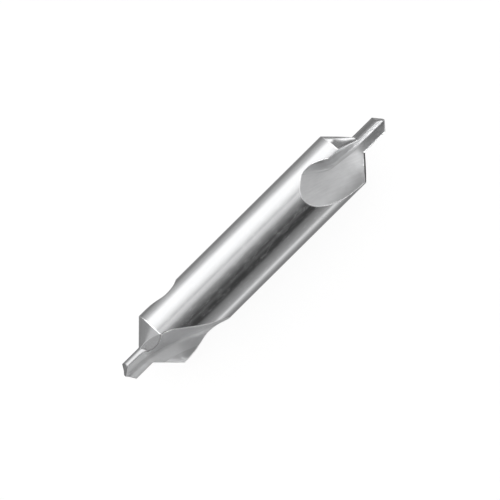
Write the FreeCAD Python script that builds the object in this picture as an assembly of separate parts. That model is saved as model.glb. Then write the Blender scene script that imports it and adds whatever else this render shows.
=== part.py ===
import FreeCAD, Part
import math
import os

from FreeCAD import Vector

# A double-ended centre drill, ground from one round bar of tool steel.
# The axis lies along X with the origin at mid-length; all sizes are in mm.
# Each end has a small pilot drill, a countersink cone behind it, and two
# right-hand flutes that run out on the body.

body_diameter = 10.0
overall_length = 56.0
pilot_diameter = 3.15
countersink_angle = 90.0
point_angle = 118.0
point_clearance = 28.0        # fall of a point flank behind its lip, in degrees

pilot_relief = 0.05           # how far each land is backed off behind its lip
cone_relief = 0.20
heel_flat_angle = 49.0        # between the axis and the flat ground on a cone's heel
heel_flat_depth = 0.58        # how far that flat lies under the cone, halfway along it

web_thickness = 0.52          # across the core between the two flutes, at the pilot
cone_ramp = 0.26              # rise of the flute floor from the countersink's root back
climb_start = 3.3             # how far behind the rim the floor starts to rise faster
climb_blend = 1.2             # length over which the floor changes slope
floor_radius = 40.0           # hollow of the flute floor
corner_radius = 0.8           # between rake face and floor
run_out_radius = 1.5          # the same corner where the flute runs out
lip_setback = 0.03            # rake faces behind the crests of the lands

# The two ends are ground alike, but not in line and not quite to one length.
# phase: where the first lip stands, seen from its own point, in degrees.
# flutes: reach is where a flute runs out, behind the rim. Its wall, the rake
# face, steps sideways by side_step and leans back by side_lean on its way
# through side_turn, given as (start, end) behind the rim.
# floor_tilt: how far the floor leans from square to the rake face. pilot holds
# ahead of the cone's root, and cone, rim and body behind it, in that order.
plus_end = {
    "phase": -18.5,
    "pilot_length": 5.2,
    "flutes": (
        {"reach": 9.25, "side_step": 1.7, "side_lean": 30.0, "side_turn": (1.3, 5.1)},
        {"reach": 9.25, "side_step": 1.7, "side_lean": 30.0, "side_turn": (1.3, 5.1)},
    ),
    "floor_tilt": {"pilot": 42.0, "cone": 15.0, "rim": 22.0, "body": 23.0},
}
minus_end = {
    "phase": -93.0,
    "pilot_length": 4.5,
    "flutes": (
        {"reach": 9.8, "side_step": 2.7, "side_lean": 19.0, "side_turn": (0.0, 6.4)},
        {"reach": 8.1, "side_step": 2.1, "side_lean": 19.0, "side_turn": (1.0, 5.4)},
    ),
    "floor_tilt": {"pilot": 42.0, "cone": 18.0, "rim": 29.0, "body": 7.5},
}

# Where the floor turns from one tilt to the next, as (start, end).
root_turn = (-0.45, 1.5)      # from the cone's root back
rim_turn = (-1.4, 0.9)        # from the rim back
body_turn = (-0.2, 7.5)

flute_sections = 23           # outlines that each flute is lofted through
over = 1.0                    # how far cutting tools pass beyond the bar

body_radius = body_diameter / 2
pilot_radius = pilot_diameter / 2
half_length = overall_length / 2
countersink_depth = (body_radius - pilot_radius) / math.tan(math.radians(countersink_angle / 2))
point_slope = 1 / math.tan(math.radians(point_angle / 2))
axis = Vector(1, 0, 0)
centre = Vector(0, 0, 0)


def revolved(profile):
    points = [Vector(x, 0, r) for x, r in profile]
    face = Part.Face(Part.makePolygon(points + points[:1]))
    return face.revolve(centre, axis, 360)


def backed_off(solid, relief):
    # Two copies set off to either side of the lips: what lies in both keeps
    # its full radius at the lips and falls away behind them.
    left = solid.translated(Vector(0, relief, 0))
    right = solid.translated(Vector(0, -relief, 0))
    return left.common(right)


def ahead_of_flat(start, slope, fall):
    # All that lies in front of a flat which crosses the axis at start, slopes
    # back along the lip and falls away behind it.
    reach = body_radius + over

    def on_flat(p, q):
        return Vector(start - slope * p + fall * q, -q, p)

    corners = [on_flat(-reach, -reach), on_flat(reach, -reach),
               on_flat(reach, reach), on_flat(-reach, reach)]
    return Part.Face(Part.makePolygon(corners + corners[:1])).extrude(axis * 4 * reach)


def cut_on_both_sides(shape, tool):
    return shape.cut(tool).cut(tool.rotated(centre, axis, 180))


def rim_position(end):
    return half_length - end["pilot_length"] - countersink_depth


def pilot():
    profile = [(0, 0), (half_length, 0), (half_length, pilot_radius), (0, pilot_radius)]
    clearance = math.tan(math.radians(point_clearance))
    drill_point = ahead_of_flat(half_length, point_slope, clearance)
    return cut_on_both_sides(backed_off(revolved(profile), pilot_relief), drill_point)


def countersink(end):
    # The cone runs on past the rim, so that it trims the bar there.
    rim = rim_position(end)
    root = rim + countersink_depth
    past_rim = over / math.tan(math.radians(countersink_angle / 2))
    profile = [
        (0, 0),
        (root, 0),
        (root, pilot_radius),
        (rim - past_rim, body_radius + over),
        (0, body_radius + over),
    ]
    halfway = rim + countersink_depth / 2
    flat_radius = (body_radius + pilot_radius) / 2 - heel_flat_depth
    flat_slope = 1 / math.tan(math.radians(heel_flat_angle))
    heel_flat = ahead_of_flat(halfway + flat_radius * flat_slope, 0, flat_slope)
    return cut_on_both_sides(backed_off(revolved(profile), cone_relief), heel_flat)


def smooth_step(value, start, end):
    share = min(max((value - start) / (end - start), 0.0), 1.0)
    return share * share * (3 - 2 * share)


def softened(value):
    # Zero ahead of a change of slope and the value itself well behind it.
    return (value + math.sqrt(value * value + climb_blend * climb_blend)) / 2


def floor_height(flute, behind):
    rise = cone_ramp * softened(countersink_depth + behind)
    left_to_climb = (body_radius - web_thickness / 2
                     - cone_ramp * softened(countersink_depth + flute["reach"]))
    steeper = left_to_climb / softened(flute["reach"] - climb_start)
    return web_thickness / 2 + rise + steeper * softened(behind - climb_start)


def floor_lean(tilt, behind):
    lean = tilt["pilot"]
    lean += (tilt["cone"] - lean) * smooth_step(behind + countersink_depth, *root_turn)
    lean += (tilt["rim"] - lean) * smooth_step(behind, *rim_turn)
    lean += (tilt["body"] - lean) * smooth_step(behind, *body_turn)
    return math.radians(lean)


def flute_section(end, flute, behind):
    # The flute's outline across the bar, at a distance behind the rim. Its
    # points are (p, q): p runs out along the lip, q ahead of it as it cuts.
    height = floor_height(flute, behind)
    tilt = floor_lean(end["floor_tilt"], behind)
    stepped = smooth_step(behind, *flute["side_turn"])
    lean = -math.radians(flute["side_lean"] * stepped)
    radius = corner_radius + stepped * (run_out_radius - corner_radius)

    floor_normal = Vector(math.cos(tilt), math.sin(tilt), 0)
    floor_along = Vector(-math.sin(tilt), math.cos(tilt), 0)
    wall_along = Vector(math.cos(lean), math.sin(lean), 0)
    wall_normal = Vector(-math.sin(lean), math.cos(lean), 0)
    wall_point = Vector(body_radius, -lip_setback - flute["side_step"] * stepped, 0)
    floor_centre = floor_normal * (height + floor_radius)

    # The corner circle touches the wall and the hollow floor.
    start = wall_point + wall_normal * radius - floor_centre
    along = start.dot(wall_along)
    room = along * along - start.dot(start) + (floor_radius - radius) ** 2
    corner_centre = floor_centre + start - wall_along * (along + math.sqrt(room))
    to_floor = (corner_centre - floor_centre).normalize()
    to_wall = wall_normal * -1
    middle = (to_floor + to_wall).normalize()

    def on_floor(angle):
        inward = floor_normal * (-math.cos(angle) * floor_radius)
        return floor_centre + inward + floor_along * (math.sin(angle) * floor_radius)

    wall_foot = corner_centre + to_wall * radius
    corner_middle = corner_centre + middle * radius
    floor_foot = corner_centre + to_floor * radius
    foot_angle = math.asin((floor_foot - floor_centre).dot(floor_along) / floor_radius)
    heel_angle = math.asin((body_radius + 3 * over) / floor_radius)
    floor_middle = on_floor((foot_angle + heel_angle) / 2)
    heel = on_floor(heel_angle)
    heel_top = heel + floor_normal * body_diameter
    wall_top = wall_point + wall_along * body_diameter

    def at(point):
        return Vector(rim_position(end) - behind, -point.y, point.x)

    return Part.Wire([
        Part.makeLine(at(wall_top), at(wall_foot)),
        Part.Arc(at(wall_foot), at(corner_middle), at(floor_foot)).toShape(),
        Part.Arc(at(floor_foot), at(floor_middle), at(heel)).toShape(),
        Part.makeLine(at(heel), at(heel_top)),
        Part.makeLine(at(heel_top), at(wall_top)),
    ])


def flute_cutter(end, flute):
    ahead = half_length - rim_position(end) + over
    last = flute["reach"] + 2 * over
    step = (last + ahead) / (flute_sections - 1)
    spots = [i * step - ahead for i in range(flute_sections)]
    return Part.makeLoft([flute_section(end, flute, spot) for spot in spots], True, False)


def finished_end(bar, end):
    # Lips at +Z and -Z and point towards +X, then turned to the end's phase.
    shape = bar.common(pilot().fuse(countersink(end)))
    for flute, turn in zip(end["flutes"], (0, 180)):
        shape = shape.cut(flute_cutter(end, flute).rotated(centre, axis, turn))
    return shape.rotated(centre, axis, end["phase"])


def centre_drill():
    half_bar = Part.makeCylinder(body_radius, half_length, centre, axis)
    plus = finished_end(half_bar, plus_end)
    minus = finished_end(half_bar, minus_end).rotated(centre, Vector(0, 0, 1), 180)
    return plus.fuse(minus).removeSplitter()


os.makedirs("parts", exist_ok=True)
drill = centre_drill()
drill.exportStep("parts/centre_drill.step")
print("solids", len(drill.Solids), "valid", drill.isValid(), "faces", len(drill.Faces))
print("volume", round(drill.Volume, 2), "box", drill.BoundBox)
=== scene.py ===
import math

import bpy
from mathutils import Matrix, Vector


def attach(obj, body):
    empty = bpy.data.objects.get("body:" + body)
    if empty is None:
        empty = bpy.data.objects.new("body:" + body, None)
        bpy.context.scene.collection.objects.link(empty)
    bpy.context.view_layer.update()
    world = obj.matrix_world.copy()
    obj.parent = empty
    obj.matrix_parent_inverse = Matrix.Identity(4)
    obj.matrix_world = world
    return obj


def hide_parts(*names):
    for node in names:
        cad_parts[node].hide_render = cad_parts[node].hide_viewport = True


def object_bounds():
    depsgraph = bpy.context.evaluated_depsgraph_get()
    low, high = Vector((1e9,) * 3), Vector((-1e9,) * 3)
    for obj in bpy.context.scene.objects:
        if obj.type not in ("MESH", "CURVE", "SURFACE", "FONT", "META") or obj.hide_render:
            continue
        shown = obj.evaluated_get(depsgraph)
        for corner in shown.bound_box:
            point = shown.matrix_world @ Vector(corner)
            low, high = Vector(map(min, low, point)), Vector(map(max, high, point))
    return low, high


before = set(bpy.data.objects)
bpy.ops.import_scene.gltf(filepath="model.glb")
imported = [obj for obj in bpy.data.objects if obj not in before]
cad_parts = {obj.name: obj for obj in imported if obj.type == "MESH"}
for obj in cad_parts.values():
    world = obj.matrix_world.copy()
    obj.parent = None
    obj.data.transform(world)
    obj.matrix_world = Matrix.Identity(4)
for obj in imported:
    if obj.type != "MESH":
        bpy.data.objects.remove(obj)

cadBox = [list(corner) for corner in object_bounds()]
print("frame loaded")


class Wire:
    # A node's output that can stand in a sum: each operator adds a Math node.
    def __init__(self, bench, socket):
        self.bench = bench
        self.socket = socket

    def output(self, name):
        # Another output of the same node.
        return Wire(self.bench, self.socket.node.outputs[name])

    def __add__(self, other):
        return self.bench.maths("ADD", self, other)

    def __radd__(self, other):
        return self.bench.maths("ADD", other, self)

    def __sub__(self, other):
        return self.bench.maths("SUBTRACT", self, other)

    def __rsub__(self, other):
        return self.bench.maths("SUBTRACT", other, self)

    def __mul__(self, other):
        return self.bench.maths("MULTIPLY", self, other)

    def __rmul__(self, other):
        return self.bench.maths("MULTIPLY", other, self)

    def __truediv__(self, other):
        return self.bench.maths("DIVIDE", self, other)

    def __rtruediv__(self, other):
        return self.bench.maths("DIVIDE", other, self)

    def __neg__(self):
        return self.bench.maths("MULTIPLY", self, -1.0)


class Bench:
    # Adds nodes to one tree, of shaders or of geometry.
    def __init__(self, tree):
        self.tree = tree

    def node(self, kind, settings=None, sockets=None, output=0):
        # Sockets go by name, or in a list by place. Each takes a value, a wire or a
        # list of wires.
        made = self.tree.nodes.new(kind)
        for name, value in (settings or {}).items():
            if name == "stops":
                self.setStops(made.color_ramp, value)
            elif name == "blend":
                made.color_ramp.interpolation = value
            else:
                setattr(made, name, value)
        if not isinstance(sockets, dict):
            sockets = dict(enumerate(sockets or []))
        for name, value in sockets.items():
            for one in value if isinstance(value, list) else [value]:
                if isinstance(one, Wire):
                    self.tree.links.new(one.socket, made.inputs[name])
                else:
                    made.inputs[name].default_value = one
        return Wire(self, made.outputs[output]) if made.outputs else None

    def setStops(self, ramp, stops):
        while len(ramp.elements) < len(stops):
            ramp.elements.new(0.5)
        for element, (place, colour) in zip(ramp.elements, stops):
            element.position = place
            element.color = colour if len(colour) == 4 else (*colour, 1.0)

    def maths(self, operation, *values):
        return self.node("ShaderNodeMath", {"operation": operation}, values)

    def above(self, value, limit):
        return self.maths("GREATER_THAN", value, limit)

    def between(self, value, low, high):
        return self.above(value, low) * self.maths("LESS_THAN", value, high)

    def radians(self, value):
        return self.maths("RADIANS", value)

    def sineAndCosine(self, angle):
        return self.maths("SINE", angle), self.maths("COSINE", angle)

    def smooth(self, value, start, end, low=0.0, high=1.0):
        return self.node("ShaderNodeMapRange", {"interpolation_type": "SMOOTHSTEP"},
                         [value, start, end, low, high])

    def ramped(self, value, start, end, low=0.0, high=1.0):
        return self.node("ShaderNodeMapRange", {}, [value, start, end, low, high])

    def vector(self, x, y, z):
        return self.node("ShaderNodeCombineXYZ", {}, [x, y, z])

    def apart(self, vector):
        parts = self.node("ShaderNodeSeparateXYZ", {}, [vector])
        return [parts.output(name) for name in ("X", "Y", "Z")]


def addObject(name, data):
    made = bpy.data.objects.new(name, data)
    bpy.context.scene.collection.objects.link(made)
    return made


def newMaterial(name):
    material = bpy.data.materials.new(name)
    material.use_nodes = True
    material.node_tree.nodes.clear()
    return material, Bench(material.node_tree)


# Sizes of the drill, in mm and degrees, the same as the solid's.
drillSizes = {
    "Body Diameter": 10.0,
    "Overall Length": 56.0,
    "Pilot Diameter": 3.15,
    "Countersink Angle": 90.0,
    "Point Angle": 118.0,
    "Point Clearance": 28.0,
    "Pilot Relief": 0.05,
    "Cone Relief": 0.20,
    "Heel Flat Angle": 49.0,
    "Heel Flat Depth": 0.58,
    "Web Thickness": 0.52,
    "Cone Ramp": 0.26,
    "Climb Start": 3.3,
    "Climb Blend": 1.2,
    "Floor Radius": 40.0,
    "Corner Radius": 0.8,
    "Run-out Radius": 1.5,
    "Lip Setback": 0.03,
}
fluteSizes = ["Reach", "Side Step", "Side Lean", "Turn Start", "Turn End"]
tiltNames = ["Pilot Tilt", "Cone Tilt", "Rim Tilt", "Body Tilt"]
plusEnd = {
    "Phase": -18.5,
    "Pilot Length": 5.2,
    "Flutes": [(9.25, 1.7, 30.0, 1.3, 5.1)] * 2,     # in the order of fluteSizes
    "Tilts": [42.0, 15.0, 22.0, 23.0],               # in the order of tiltNames
}
minusEnd = {
    "Phase": -93.0,
    "Pilot Length": 4.5,
    "Flutes": [(9.8, 2.7, 19.0, 0.0, 6.4), (8.1, 2.1, 19.0, 1.0, 5.4)],
    "Tilts": [42.0, 18.0, 29.0, 7.5],
}
# Where the floor turns to its next tilt: from the cone's root back, and twice from
# the rim back.
floorTurns = {"Cone Tilt": (-0.45, 1.5), "Rim Tilt": (-1.4, 0.9), "Body Tilt": (-0.2, 7.5)}
over = 1.0                        # how far cutting tools pass beyond the bar
# Points round the drill, rings of a cone, and points along and across a flute's
# cutter. Edges that turn by more degrees than sharpAngle stay sharp.
fineness = {"around": 288, "cone": 14, "along": 160, "wall": 9, "corner": 18, "floor": 48, "sharpAngle": 12}
# How each face was cut. Its place in this list is the face's "cut" in the mesh.
cutNames = ["body", "cone", "heelFlat", "rakeFace", "corner", "floor", "pilot", "point"]


def startGroup(name, inputs, outputs):
    tree = bpy.data.node_groups.new(name, "GeometryNodeTree")
    for title in inputs:
        tree.interface.new_socket(title, in_out="INPUT", socket_type="NodeSocketFloat")
    for title in outputs:
        tree.interface.new_socket(title, in_out="OUTPUT", socket_type="NodeSocketGeometry")
    bench = Bench(tree)
    entry = bench.node("NodeGroupInput")
    return bench, {title: entry.output(title) for title in inputs}


def endGroup(bench, outputs):
    bench.node("NodeGroupOutput", {}, outputs)
    return bench.tree


def rowAndSpot(bench, index, around):
    # Which row an index is in, and its place in that row. The half keeps rounding
    # from moving it to another row.
    row = bench.maths("FLOOR", (index + 0.5) / around)
    return row, index - row * around


def drum(bench, around, rings):
    # A closed tube to be moved into shape, with each point's ring and its place
    # round the ring. Its points are numbered from the top ring down.
    mesh = bench.node("GeometryNodeMeshCylinder", {"fill_type": "NGON"},
                      {"Vertices": around, "Side Segments": rings - 1, "Radius": 1.0, "Depth": 1.0})
    down, spot = rowAndSpot(bench, bench.node("GeometryNodeInputIndex"), around)
    return mesh, rings - 1 - down, spot


def movedTo(bench, mesh, place):
    return bench.node("GeometryNodeSetPosition", {}, {"Geometry": mesh, "Position": place})


def marked(bench, mesh, cut):
    value = float(cutNames.index(cut)) if isinstance(cut, str) else cut
    return bench.node("GeometryNodeStoreNamedAttribute", {"data_type": "FLOAT", "domain": "FACE"},
                      {"Geometry": mesh, "Name": "cut", "Value": value})


def turned(bench, mesh, x=0.0, z=0.0):
    return bench.node("GeometryNodeTransform", {}, {"Geometry": mesh, "Rotation": bench.vector(x, 0.0, z)})


def boolean(bench, operation, first, others):
    if operation == "DIFFERENCE":
        sockets = {"Mesh 1": first, "Mesh 2": others}
    else:
        sockets = {"Mesh 2": [first, *others]}
    return bench.node("GeometryNodeMeshBoolean", {"operation": operation, "solver": "MANIFOLD"}, sockets)


def roundShape(bench, rings, cut, shapeOf):
    # A closed shape round the axis. shapeOf gives the place along it and the radius
    # of a ring, for the sine and cosine of the angle from a lip.
    mesh, ring, spot = drum(bench, fineness["around"], rings)
    side, front = bench.sineAndCosine(spot * (2 * math.pi / fineness["around"]))
    x, radius = shapeOf(ring, side, front)
    place = bench.vector(x, -side * radius, front * radius)
    return marked(bench, movedTo(bench, mesh, place), cut)


def floorHeight(bench, size, depth, behind):
    def softened(value):
        # Zero ahead of a change of slope and the value itself well behind it.
        blend = size["Climb Blend"]
        return (value + bench.maths("SQRT", value * value + blend * blend)) / 2

    web = size["Web Thickness"] / 2
    rise = size["Cone Ramp"] * softened(depth + behind)
    leftToClimb = size["Body Diameter"] / 2 - web - size["Cone Ramp"] * softened(depth + size["Reach"])
    steeper = leftToClimb / softened(size["Reach"] - size["Climb Start"])
    return web + rise + steeper * softened(behind - size["Climb Start"])


def floorTilt(bench, size, depth, behind):
    lean = size["Pilot Tilt"]
    for name, (start, end) in floorTurns.items():
        place = behind + depth if name == "Cone Tilt" else behind
        lean = lean + (size[name] - lean) * bench.smooth(place, start, end)
    return bench.radians(lean)


def fluteCutter():
    bench, size = startGroup("Flute Cutter", [
        "Rim", *fluteSizes, *tiltNames, "Body Diameter", "Overall Length", "Pilot Diameter",
        "Countersink Angle", "Web Thickness", "Cone Ramp", "Climb Start", "Climb Blend",
        "Floor Radius", "Corner Radius", "Run-out Radius", "Lip Setback"], ["Cutter"])
    wallEnd = fineness["wall"]
    cornerEnd = wallEnd + fineness["corner"]
    outline = cornerEnd + fineness["floor"] + 2
    mesh, ring, spot = drum(bench, outline, fineness["along"])
    bodyRadius = size["Body Diameter"] / 2
    halfAngle = bench.radians(size["Countersink Angle"]) / 2
    depth = (bodyRadius - size["Pilot Diameter"] / 2) / bench.maths("TANGENT", halfAngle)
    ahead = size["Overall Length"] / 2 - size["Rim"] + over
    last = size["Reach"] + 2 * over
    behind = ring * (last + ahead) / (fineness["along"] - 1) - ahead

    height = floorHeight(bench, size, depth, behind)
    tilt = floorTilt(bench, size, depth, behind)
    stepped = bench.smooth(behind, size["Turn Start"], size["Turn End"])
    wall = bench.radians(-size["Side Lean"] * stepped)
    corner = size["Corner Radius"] + stepped * (size["Run-out Radius"] - size["Corner Radius"])

    def away(angle, length):
        sine, cosine = bench.sineAndCosine(angle)
        return cosine * length, sine * length

    def moved(start, step):
        return start[0] + step[0], start[1] + step[1]

    # Points of the outline lie out along the lip and ahead of it. The corner's circle
    # touches the wall and the hollow floor.
    wallPoint = bodyRadius, -size["Lip Setback"] - size["Side Step"] * stepped
    floorCentre = away(tilt, height + size["Floor Radius"])
    normal = away(wall + math.pi / 2, 1.0)
    start = [point + step * corner - centre for point, step, centre in zip(wallPoint, normal, floorCentre)]
    across = start[0] * normal[0] + start[1] * normal[1]
    turnIn = bench.maths("ARCSINE", across / (size["Floor Radius"] - corner))
    cornerCentre = moved(floorCentre, away(wall - math.pi - turnIn, size["Floor Radius"] - corner))
    footAngle = tilt - wall + turnIn
    heelAngle = bench.maths("ARCSINE", (bodyRadius + 3 * over) / size["Floor Radius"])

    wallTop = moved(wallPoint, away(wall, size["Body Diameter"]))
    wallFoot = moved(cornerCentre, away(wall - math.pi / 2, corner))
    upWall = bench.ramped(spot, 0.0, wallEnd, 1.0, 0.0)
    onWall = [foot + (top - foot) * upWall for foot, top in zip(wallFoot, wallTop)]
    roundCorner = bench.ramped(spot, wallEnd, cornerEnd)
    cornerAngle = wall - math.pi / 2 - (math.pi / 2 + turnIn) * roundCorner
    onCorner = moved(cornerCentre, away(cornerAngle, corner))
    alongFloor = bench.ramped(spot, cornerEnd, outline - 2)
    floorAngle = footAngle + (heelAngle - footAngle) * alongFloor
    onFloor = moved(floorCentre, away(tilt + math.pi - floorAngle, size["Floor Radius"]))
    heelTop = moved(onFloor, away(tilt, size["Body Diameter"]))

    place = onWall
    for following, last in ((onCorner, wallEnd), (onFloor, cornerEnd), (heelTop, outline - 2)):
        past = bench.above(spot, last + 0.5)
        place = [here + (there - here) * past for here, there in zip(place, following)]
    cutter = movedTo(bench, mesh, bench.vector(size["Rim"] - behind, -place[1], place[0]))

    row, faceSpot = rowAndSpot(bench, bench.node("GeometryNodeInputIndex"), outline)
    cut = (cutNames.index("rakeFace") + bench.above(faceSpot, wallEnd - 0.5)
           + bench.above(faceSpot, cornerEnd - 0.5))
    return endGroup(bench, {"Cutter": marked(bench, cutter, cut)})


def drillEnd():
    # Lips up and down and the point towards +X, then turned to the end's phase.
    fluteInputs = ["%s %d" % (name, i) for i in (1, 2) for name in fluteSizes]
    bench, size = startGroup("Drill End", ["Phase", "Pilot Length", *fluteInputs, *tiltNames, *drillSizes],
                             ["Outside", "Flute 1", "Flute 2"])
    bodyRadius = size["Body Diameter"] / 2
    pilotRadius = size["Pilot Diameter"] / 2
    halfLength = size["Overall Length"] / 2
    slope = 1.0 / bench.maths("TANGENT", bench.radians(size["Countersink Angle"]) / 2)
    depth = (bodyRadius - pilotRadius) * slope
    rim = halfLength - size["Pilot Length"] - depth

    def relieved(radius, relief, side, front):
        # Full radius at the lips, and falling away behind them.
        inner = radius * radius - relief * relief * front * front
        return bench.maths("SQRT", inner) - relief * bench.maths("ABSOLUTE", side)

    def coneShape(ring, side, front):
        # It runs past the rim and then straight back, so that it trims the bar.
        share = bench.ramped(ring, 1.0, fineness["cone"] - 1.0)
        radius = bodyRadius + over + (pilotRadius - bodyRadius - over) * share
        x = rim + (bodyRadius - radius) * slope
        x = x + (-halfLength - over - x) * bench.maths("LESS_THAN", ring, 0.5)
        return x, relieved(radius, size["Cone Relief"], side, front)

    def pilotShape(ring, side, front):
        # It starts inside the body.
        inside = rim - over
        x = inside + ring * (halfLength - inside)
        return x, relieved(pilotRadius, size["Pilot Relief"], side, front)

    def cutOnBothSides(mesh, start, lipSlope, fall, cut):
        # Takes off all that lies in front of a flat, which crosses the axis at start,
        # slopes back along the lip and falls away behind it.
        block = bench.node("GeometryNodeMeshCube", {}, {"Size": (1.0, 1.0, 1.0)})
        reach = 4 * (bodyRadius + over)
        x, y, z = [each * reach for each in bench.apart(bench.node("GeometryNodeInputPosition"))]
        x = start - lipSlope * z - fall * y + x + reach / 2
        tool = marked(bench, movedTo(bench, block, bench.vector(x, y, z)), cut)
        return boolean(bench, "DIFFERENCE", mesh, [tool, turned(bench, tool, math.pi)])

    cone = roundShape(bench, fineness["cone"], "cone", coneShape)
    flatRadius = (bodyRadius + pilotRadius) / 2 - size["Heel Flat Depth"]
    flatSlope = 1.0 / bench.maths("TANGENT", bench.radians(size["Heel Flat Angle"]))
    cone = cutOnBothSides(cone, rim + depth / 2 + flatRadius * flatSlope, 0.0, flatSlope, "heelFlat")
    pilot = roundShape(bench, 2, "pilot", pilotShape)
    pointSlope = 1.0 / bench.maths("TANGENT", bench.radians(size["Point Angle"]) / 2)
    clearance = bench.maths("TANGENT", bench.radians(size["Point Clearance"]))
    pilot = cutOnBothSides(pilot, halfLength, pointSlope, clearance, "point")
    phase = bench.radians(size["Phase"])
    made = {"Outside": turned(bench, boolean(bench, "UNION", cone, [pilot]), phase)}

    cutterTree = fluteCutter()
    for i, turn in ((1, 0.0), (2, math.pi)):
        sockets = {name: size["%s %d" % (name, i)] for name in fluteSizes}
        sockets["Rim"] = rim
        for item in cutterTree.interface.items_tree:
            if item.in_out == "INPUT" and item.name not in sockets:
                sockets[item.name] = size[item.name]
        cutter = bench.node("GeometryNodeGroup", {"node_tree": cutterTree}, sockets)
        made["Flute %d" % i] = turned(bench, cutter, phase + turn)
    return endGroup(bench, made)


def drillTree(steel):
    bench, size = startGroup("Centre Drill", drillSizes, ["Drill"])

    def barShape(ring, side, front):
        return (ring - 0.5) * (size["Overall Length"] + 2 * over), size["Body Diameter"] / 2

    endTree = drillEnd()
    outsides, flutes = [], []
    for end, turn in ((plusEnd, 0.0), (minusEnd, math.pi)):
        sockets = {name: size[name] for name in drillSizes}
        sockets.update({name: end[name] for name in ("Phase", "Pilot Length")})
        sockets.update(zip(tiltNames, end["Tilts"]))
        for i, flute in enumerate(end["Flutes"], 1):
            sockets.update({"%s %d" % (name, i): value for name, value in zip(fluteSizes, flute)})
        made = bench.node("GeometryNodeGroup", {"node_tree": endTree}, sockets)
        outsides.append(turned(bench, made.output("Outside"), z=turn))
        flutes += [turned(bench, made.output("Flute %d" % i), z=turn) for i in (1, 2)]
    blank = boolean(bench, "INTERSECT", roundShape(bench, 2, "body", barShape), outsides)
    drill = boolean(bench, "DIFFERENCE", blank, flutes)
    metresPerMm = (0.001, 0.001, 0.001)
    drill = bench.node("GeometryNodeTransform", {}, {"Geometry": drill, "Scale": metresPerMm})
    drill = bench.node("GeometryNodeRealizeInstances", {}, {"Geometry": drill})
    drill = bench.node("GeometryNodeSetMaterial", {}, {"Geometry": drill, "Material": steel})
    return endGroup(bench, {"Drill": drill})


def makeDrill(steel):
    tree = drillTree(steel)
    carrier = addObject("drillTree", bpy.data.meshes.new("drillTree"))
    modifier = carrier.modifiers.new("drill", "NODES")
    modifier.node_group = tree
    for item in tree.interface.items_tree:
        if item.in_out == "INPUT":
            modifier[item.identifier] = drillSizes[item.name]
    ready = carrier.evaluated_get(bpy.context.evaluated_depsgraph_get())
    mesh = bpy.data.meshes.new_from_object(ready)
    bpy.data.objects.remove(carrier)
    mesh.name = "drill"
    mesh.shade_smooth()
    mesh.set_sharp_from_angle(angle=math.radians(fineness["sharpAngle"]))
    return addObject("drill", mesh)


# How the steel is finished. The numbers of a cut are how bright it is, how rough,
# how deep its grinding marks are, and the painted light on its rounded edges, from painted shade (0) to
# painted highlight (1).
steelLook = {
    "tint": (0.985, 0.99, 1.0),
    # A cut's brightness is set face by face: partly the steel's own tone and partly painted light and
    # shade.
    "cuts": {
        "body": (0.60, 0.10, 0.12, 1.0),
        "cone": (0.585, 0.22, 0.35, 1.0),
        "heelFlat": (0.53, 0.24, 0.35, 0.0),
        "rakeFace": (0.52, 0.34, 0.45, 1.0),
        "corner": (0.65, 0.52, 0.50, 0.5),
        "floor": (0.80, 0.35, 0.60, 1.0),
        "pilot": (0.50, 0.11, 0.30, 0.1),
        "point": (0.46, 0.25, 0.35, 0.2),
    },
    # Marks per mm in three directions, how much detail they have and how rough it is:
    # grinding marks round the drill, streaks along the flutes, and clouds over both.
    "rings": ((5.0, 0.3, 0.3), 4.0, 0.65),
    "streaks": ((0.22, 3.0, 0.8), 5.0, 0.6),
    "clouds": ((0.63, 1.8, 1.8), 6.0, 0.7),
    "streakSlope": 0.45,          # how far streaks lean to the flute's side, per mm along it
    "markShare": 0.45,            # how much marks and clouds change the brightness
    "cloudShare": 0.14,
    "roughShares": (0.5, 0.8, 0.2),     # roughness that is even, from clouds and from marks
    "patchFrom": (0.43, 0.64),    # clouds from which the body is rougher
    "patchShare": 1.1,            # by how much
    "markDepth": 0.000006,        # in metres, as is edgeWidth
    "edgeWidth": 0.00032,
    "edgeTurn": (0.998, 0.95),    # cosines of the turn at which an edge starts and is full
    # painted highlight added on rounded edges, scaled by each cut's edge number
    "paintedEdgeLight": 0.42,
    "paintedLipReach": (0.45, 1.5),       # where the painted highlight on the rake face fades out, in mm under the lip
    "paintedLipHighlight": 0.38,
    "gulletFrom": (-1.2, 0.6),    # where painted shade darkens the flute floors, in mm past the cone's root
    "paintedGulletShade": (0.34, 0.60),  # by how much, at the -X and the +X end
    "heelFrom": (0.9, 4.4),       # and painted shade the same way towards a flute's heel, in mm from its lip
    "paintedHeelShade": (0.0, 0.52),
    "fluteSplit": 0.4,            # slope of the line between one flute and the other
}


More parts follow.
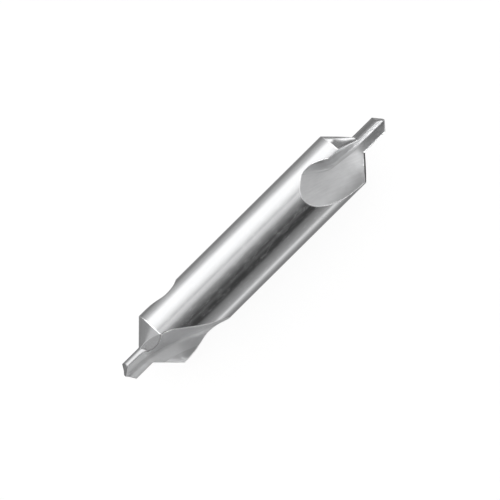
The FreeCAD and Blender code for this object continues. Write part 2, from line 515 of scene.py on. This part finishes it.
def makeSteel():
    steel, bench = newMaterial("groundSteel")
    look = steelLook
    cut = bench.node("ShaderNodeAttribute", {"attribute_name": "cut"}, output="Fac")
    stops = [(number / len(cutNames), look["cuts"][name]) for number, name in enumerate(cutNames)]
    ramp = bench.node("ShaderNodeValToRGB", {"stops": stops, "blend": "CONSTANT"},
                      [(cut + 0.5) / len(cutNames)])
    bright, rough, depth = bench.apart(ramp)
    # Painted light on rounded edges: below 0 it is painted shade, above 0 painted highlight.
    edge = ramp.output("Alpha") * 2 - 1

    def isCut(first, last):
        return bench.between(cut, cutNames.index(first) - 0.5, cutNames.index(last) + 0.5)

    onBody, onWall, onFloor = [isCut(name, name) for name in ("body", "rakeFace", "floor")]
    inFlute = isCut("rakeFace", "floor")

    # Where a spot is, in mm: along the drill, and in its own flute ahead of the lip
    # and out along it, as seen from its own point.
    x, y, z = [each * 1000 for each in bench.apart(bench.node("ShaderNodeTexCoord", output="Object"))]
    away = bench.maths("ABSOLUTE", x)
    isPlus = bench.above(x, 0.0)
    side = isPlus * 2 - 1

    def byEnd(minus, plus):
        return minus + isPlus * (plus - minus)

    sine, cosine = bench.sineAndCosine(bench.radians(byEnd(minusEnd["Phase"], plusEnd["Phase"])))
    ahead = z * sine - y * side * cosine
    out = z * cosine + y * side * sine
    flute = bench.maths("SIGN", out + ahead * look["fluteSplit"])
    ahead, out = ahead * flute, out * flute

    def noise(kind, *place):
        perMm, detail, roughness = look[kind]
        scaled = bench.vector(*[each * scale for each, scale in zip(place, perMm)])
        return bench.node("ShaderNodeTexNoise", {}, {
            "Vector": scaled, "Scale": 1.0, "Detail": detail, "Roughness": roughness})

    acrossFloor = ahead - away * look["streakSlope"]
    acrossWall = out + away * look["streakSlope"]
    streaks = noise("streaks", away, acrossFloor + (acrossWall - acrossFloor) * onWall, out)
    rings = noise("rings", x, y, z)
    clouds = noise("clouds", x, y, z)
    marks = rings + (streaks - rings) * inFlute

    # How far a spot lies under the cone or the pilot that the lips stand on.
    root = drillSizes["Overall Length"] / 2 - byEnd(minusEnd["Pilot Length"], plusEnd["Pilot Length"])
    coneSlope = math.tan(math.radians(drillSizes["Countersink Angle"] / 2))
    onCone = bench.maths("MAXIMUM", (root - away) * coneSlope, 0.0)
    under = onCone + drillSizes["Pilot Diameter"] / 2 - bench.maths("SQRT", y * y + z * z)
    # A painted highlight along the rake face just under the lip.
    atLip = bench.smooth(under, *look["paintedLipReach"], 1.0, 0.0) * onWall

    rounded = bench.node("ShaderNodeBevel", {"samples": 6}, {"Radius": look["edgeWidth"]})
    flat = bench.node("ShaderNodeNewGeometry", output="Normal")
    facing = bench.node("ShaderNodeVectorMath", {"operation": "DOT_PRODUCT"}, [rounded, flat], "Value")
    onEdge = bench.smooth(facing, *look["edgeTurn"])

    # Painted shade on the flute floors beside the pilots.
    inGullet = bench.smooth(away - root, *look["gulletFrom"]) * onFloor
    # Painted shade on the flute floors towards the heel, at the +X end.
    atHeel = bench.smooth(ahead, *look["heelFrom"]) * onFloor
    bright = bright * (1 - inGullet * byEnd(*look["paintedGulletShade"]))
    bright = bright * (1 - atHeel * byEnd(*look["paintedHeelShade"]))
    uneven = (marks - 0.5) * depth * look["markShare"] + (clouds - 0.5) * look["cloudShare"]
    # Painted highlights and shade on rounded edges, and a painted highlight along the lips.
    paintedEdgeAndLipLight = onEdge * edge * look["paintedEdgeLight"] * (1 - atLip) + atLip * look["paintedLipHighlight"]
    bright = bright * (1 + uneven) + paintedEdgeAndLipLight
    even, fromClouds, fromMarks = look["roughShares"]
    patches = bench.smooth(clouds, *look["patchFrom"], 0.0, look["patchShare"]) * onBody
    rough = rough * (even + clouds * fromClouds + marks * fromMarks + patches)

    colour = bench.node("ShaderNodeVectorMath", {"operation": "SCALE"},
                        {0: look["tint"], "Scale": bright}, "Vector")
    bumped = bench.node("ShaderNodeBump", {}, {
        "Strength": 1.0, "Distance": look["markDepth"], "Height": marks * depth, "Normal": rounded})
    shader = bench.node("ShaderNodeBsdfPrincipled", {}, {
        "Base Color": colour, "Metallic": 1.0, "Roughness": rough, "Normal": bumped})
    bench.node("ShaderNodeOutputMaterial", {}, {"Surface": shader})
    return steel


steel = makeSteel()
drill = makeDrill(steel)
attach(drill, "root")
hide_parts("centre_drill")
print("drill made:", len(drill.data.vertices), "points,", len(drill.data.polygons), "faces")


studio = {
    "floorColour": (0.90, 0.90, 0.90, 1.0),
    "floorHalf": 3.0,             # half its width, in metres
    "floorWhite": 1.05,           # the white that the camera sees in it
    "shadowShare": 0.12,          # how much of the floor's own shade the camera sees
    "roomLevel": 1.667,
    # What the drill mirrors: bands of light along it, by their turn about its
    # axis in degrees, from straight up (0) over +Y, and how bright each is.
    "bands": [(-180, 0.26), (-145, 0.17), (-130, 0.25), (-118, 0.42), (-106, 0.72), (-96, 0.34),
              (-78, 0.23), (-62, 0.15), (-52, 0.045), (-38, 0.038), (-28, 0.09), (-21, 0.05),
              (-8, 0.14), (6, 0.25), (15, 0.52), (26, 0.64), (32, 0.50), (44, 0.80), (60, 1.0),
              (86, 1.02), (104, 0.48), (140, 0.17), (180, 0.26)],
    # Cards beyond its ends: turn, share of the way to +X, spread and brightness.
    "cards": [(-30, 0.65, 0.62, 0.27), (122, 0.90, 0.20, 0.08), (143, 0.63, 0.23, 1.2),
              (158, 0.36, 0.14, 0.15), (-130, 0.78, 0.4, 0.03), (130, -0.75, 0.5, 0.24),
              (100, -0.97, 0.4, 0.50)],
    # Narrow arcs of light round its axis, which only rounded edges mirror: share of
    # the way to +X, half width, brightness, and the turns between which they run.
    "arcs": [(0.26, 0.03, 2.0, -100, 122), (-0.38, 0.04, 3.0, -60, 122)],
    "cardCore": 0.5,              # shares of a card and of an arc that are evenly bright
    "arcCore": 0.4,
}

# Small cards close to the drill, seen in its steel only, in mm: middle, the spot
# that each faces, its width along the drill and across, and how bright it is.
nearCards = {
    # Those with a low brightness, tipShade and pilotShade, are dim sheets that stand in for shade in what
    # the steel mirrors.
    "fluteLight": ((35.2, 0.4, 29.6), (15.5, -1.5, 3.0), 20.0, 12.0, 0.62),
    "tipShade": ((22.4, -4.3, -4.9), (22.4, -4.3, 0.0), 5.0, 5.5, 0.11),
    "pilotLip": ((25.9, -4.6, 0.76), (25.6, -0.1, 0.8), 5.0, 1.4, 5.2),
    "coneLip": ((21.7, -7.5, 12.1), (21.0, -0.3, 2.5), 4.4, 4.0, 1.3),
    "pilotShade": ((26.6, 5.5, 1.8), (26.6, 0.0, 1.8), 6.8, 6.6, 0.35),
}


def addPanel(name, corners, material):
    mesh = bpy.data.meshes.new(name)
    mesh.from_pydata(corners, [], [(0, 1, 2, 3)])
    mesh.materials.append(material)
    return addObject(name, mesh)


def glow(bench, strength, kind="ShaderNodeEmission"):
    return bench.node(kind, {}, {"Color": (1, 1, 1, 1), "Strength": strength})


def makeNearCards():
    for name, (middle, spot, width, height, level) in nearCards.items():
        middle = Vector(middle)
        back = (middle - Vector(spot)).normalized()
        along = (Vector((1.0, 0.0, 0.0)) - back * back.x).normalized() * width / 2
        across = back.cross(along).normalized() * height / 2
        corners = [middle - along - across, middle + along - across,
                   middle + along + across, middle - along + across]
        material, bench = newMaterial(name)
        bench.node("ShaderNodeOutputMaterial", {}, {"Surface": glow(bench, level)})
        card = addPanel(name, [tuple(corner / 1000) for corner in corners], material)
        card.visible_camera = False
        card.visible_diffuse = False
        card.visible_shadow = False


def makeFloor():
    half, low = studio["floorHalf"], cadBox[0][2]
    material, bench = newMaterial("floorPaint")
    camera = bench.node("ShaderNodeLightPath", output="Is Camera Ray")
    matt = bench.node("ShaderNodeBsdfDiffuse", {}, {"Color": studio["floorColour"]})
    seen = [camera * (1.0 - studio["shadowShare"]), matt, glow(bench, studio["floorWhite"])]
    bench.node("ShaderNodeOutputMaterial", {}, {"Surface": bench.node("ShaderNodeMixShader", {}, seen)})
    corners = [(-half, -half, low), (half, -half, low), (half, half, low), (-half, half, low)]
    floor = addPanel("floor", corners, material)
    floor.visible_glossy = False        # the room's lower half stands in for it there


def makeRoom():
    world = bpy.data.worlds.new("room")
    bpy.context.scene.world = world
    world.use_nodes = True
    world.node_tree.nodes.clear()
    bench = Bench(world.node_tree)
    direction = bench.node("ShaderNodeTexCoord", output="Generated")
    x, y, z = bench.apart(direction)
    turn = bench.maths("ARCTAN2", y, z) / (2 * math.pi) + 0.5

    def turnAt(angle):
        return 0.5 + angle / 360

    # A ramp's colours stop at 1, so the levels go in halved and come out doubled.
    stops = [(turnAt(angle), (level / 2,) * 3) for angle, level in studio["bands"]]
    level = bench.node("ShaderNodeValToRGB", {"stops": stops}, {"Fac": turn}) * 2
    for angle, toPlus, spread, brightness in studio["cards"]:
        angle, aside = math.radians(angle), math.sqrt(1 - toPlus * toPlus)
        middle = (toPlus, aside * math.sin(angle), aside * math.cos(angle))
        away = bench.node("ShaderNodeVectorMath", {"operation": "DISTANCE"}, [direction, middle], "Value")
        card = bench.smooth(away, studio["cardCore"] * spread, spread, 1.0, 0.0)
        level = level + (brightness - level) * card
    for toPlus, width, brightness, first, last in studio["arcs"]:
        away = bench.maths("ABSOLUTE", x - toPlus)
        arc = bench.smooth(away, studio["arcCore"] * width, width, brightness, 0.0)
        level = level + arc * bench.between(turn, turnAt(first), turnAt(last))
    room = bench.node("ShaderNodeBackground", {}, {"Color": level, "Strength": studio["roomLevel"]})
    camera = bench.node("ShaderNodeLightPath", output="Is Camera Ray")
    seen = [camera, room, glow(bench, 1.0, "ShaderNodeBackground")]
    bench.node("ShaderNodeOutputWorld", {}, {"Surface": bench.node("ShaderNodeMixShader", {}, seen)})


view = {
    "distance": 1.2,
    "widthSeen": 0.07669,         # how much of the object's plane is in the picture
    "lift": 3.2,                  # the -X end stands this much nearer, in degrees
    "roll": 44.72,
    "middle": (0.000092, -0.000767, -0.000460),     # along the drill, right and up
    "sensor": 36.0,
    "clip": (0.01, 20.0),
}


def makeCamera():
    lift, roll = math.radians(view["lift"]), math.radians(view["roll"])
    along = Vector((math.cos(lift), 0.0, math.sin(lift)))
    across = Vector((0.0, 1.0, 0.0))
    right = along * math.cos(roll) - across * math.sin(roll)
    up = along * math.sin(roll) + across * math.cos(roll)
    back = right.cross(up)
    alongBy, rightBy, upBy = view["middle"]
    middle = along * alongBy + right * rightBy + up * upBy
    lens = bpy.data.cameras.new("camera")
    lens.sensor_width = view["sensor"]
    lens.lens = view["sensor"] * view["distance"] / view["widthSeen"]
    lens.clip_start, lens.clip_end = view["clip"]
    camera = addObject("camera", lens)
    turn = Matrix((right, up, back)).transposed()
    camera.matrix_world = Matrix.Translation(middle + back * view["distance"]) @ turn.to_4x4()
    bpy.context.scene.camera = camera


makeFloor()
makeNearCards()
makeRoom()
makeCamera()
bpy.context.scene.view_settings.view_transform = "Standard"
print("studio ready")
